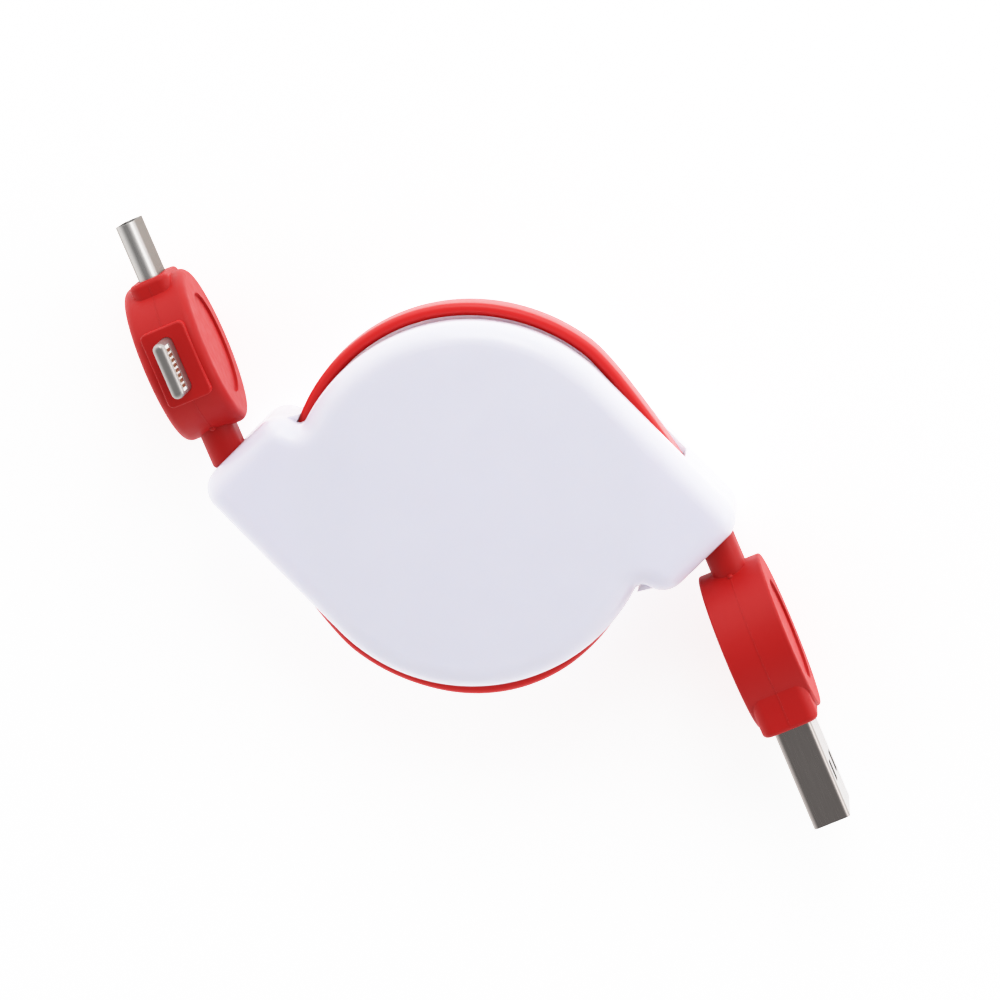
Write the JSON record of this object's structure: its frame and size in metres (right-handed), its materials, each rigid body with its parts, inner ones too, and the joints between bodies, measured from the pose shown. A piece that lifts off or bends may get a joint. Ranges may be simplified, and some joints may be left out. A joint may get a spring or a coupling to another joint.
{
  "type": "retractable charging cable",
  "caption": "Pocket reel with a flat ribbon cable that pulls out both ways and winds back by a spring, with a two-plug head at one end and a flat USB plug at the other.",
  "frame": {"origin": "centre of the reel's flat rear face, on the axis of the spool", "axes": "+Z out of the reel's front face, +X across the reel towards the USB-A head's side, with the reel lying on its back"},
  "size_m": [0.0858, 0.0707, 0.0262],
  "materials": {
    "cover_white": "satin gloss",
    "ribbon_red": "smooth satin",
    "head_red": "fine satin",
    "spool_plastic": "moulded",
    "spring_steel": "bright",
    "plug_nickel": "nickel plated",
    "contact_gold": "gold plated",
    "tongue_white": "moulded",
    "liner_black": "moulded",
    "board_green": "solder mask"
  },
  "bodies": {
    "case": {"front_cover": "cover_white", "rear_cover": "cover_white", "multi_head_ribbon": "ribbon_red", "usb_a_ribbon": "ribbon_red"},
    "spool": {"spool_drum": "spool_plastic", "spool_flange": "spool_plastic", "ribbon_coil": "ribbon_red", "mainspring": "spring_steel"},
    "latch": {"latch_ball": "spring_steel"},
    "multi_head": {"multi_head_body": "head_red", "usb_c_shell": "plug_nickel", "usb_c_liner": "liner_black", "usb_c_contacts": "contact_gold", "eight_pin_tab": "plug_nickel", "eight_pin_insulator": "tongue_white", "eight_pin_contacts": "contact_gold", "multi_head_board": "board_green"},
    "usb_a_head": {"usb_a_head_body": "head_red", "usb_a_shell": "plug_nickel", "usb_a_tongue": "tongue_white", "usb_a_contacts": "contact_gold", "usb_a_core": "tongue_white"}
  },
  "joints": [
    {"name": "spool_turn", "type": "hinge", "parent": "case", "child": "spool", "pos_m": [0, 0, 0.00963], "axis": [0, 0, -1], "range_deg": [0, 1200], "stiffness_Nm_per_rad": 0.0008, "deforming": ["mainspring"]},
    {"name": "multi_head_pull", "type": "slide", "parent": "case", "child": "multi_head", "axis": [-0.3907, 0.9205, 0], "range_m": [0, 0.3185], "deforming": ["multi_head_ribbon"]},
    {"name": "usb_a_pull", "type": "slide", "parent": "case", "child": "usb_a_head", "axis": [0.3907, -0.9205, 0], "range_m": [0, 0.3185], "deforming": ["usb_a_ribbon"]},
    {"name": "latch_slide", "type": "slide", "parent": "case", "child": "latch", "axis": [0.7071, 0.7071, 0], "range_m": [-0.0009, 0.0009]}
  ],
  "couplings": [
    {"joint": "multi_head_pull", "follows": "spool_turn", "m_per_rad": 0.0152},
    {"joint": "usb_a_pull", "follows": "spool_turn", "m_per_rad": 0.0152}
  ]
}
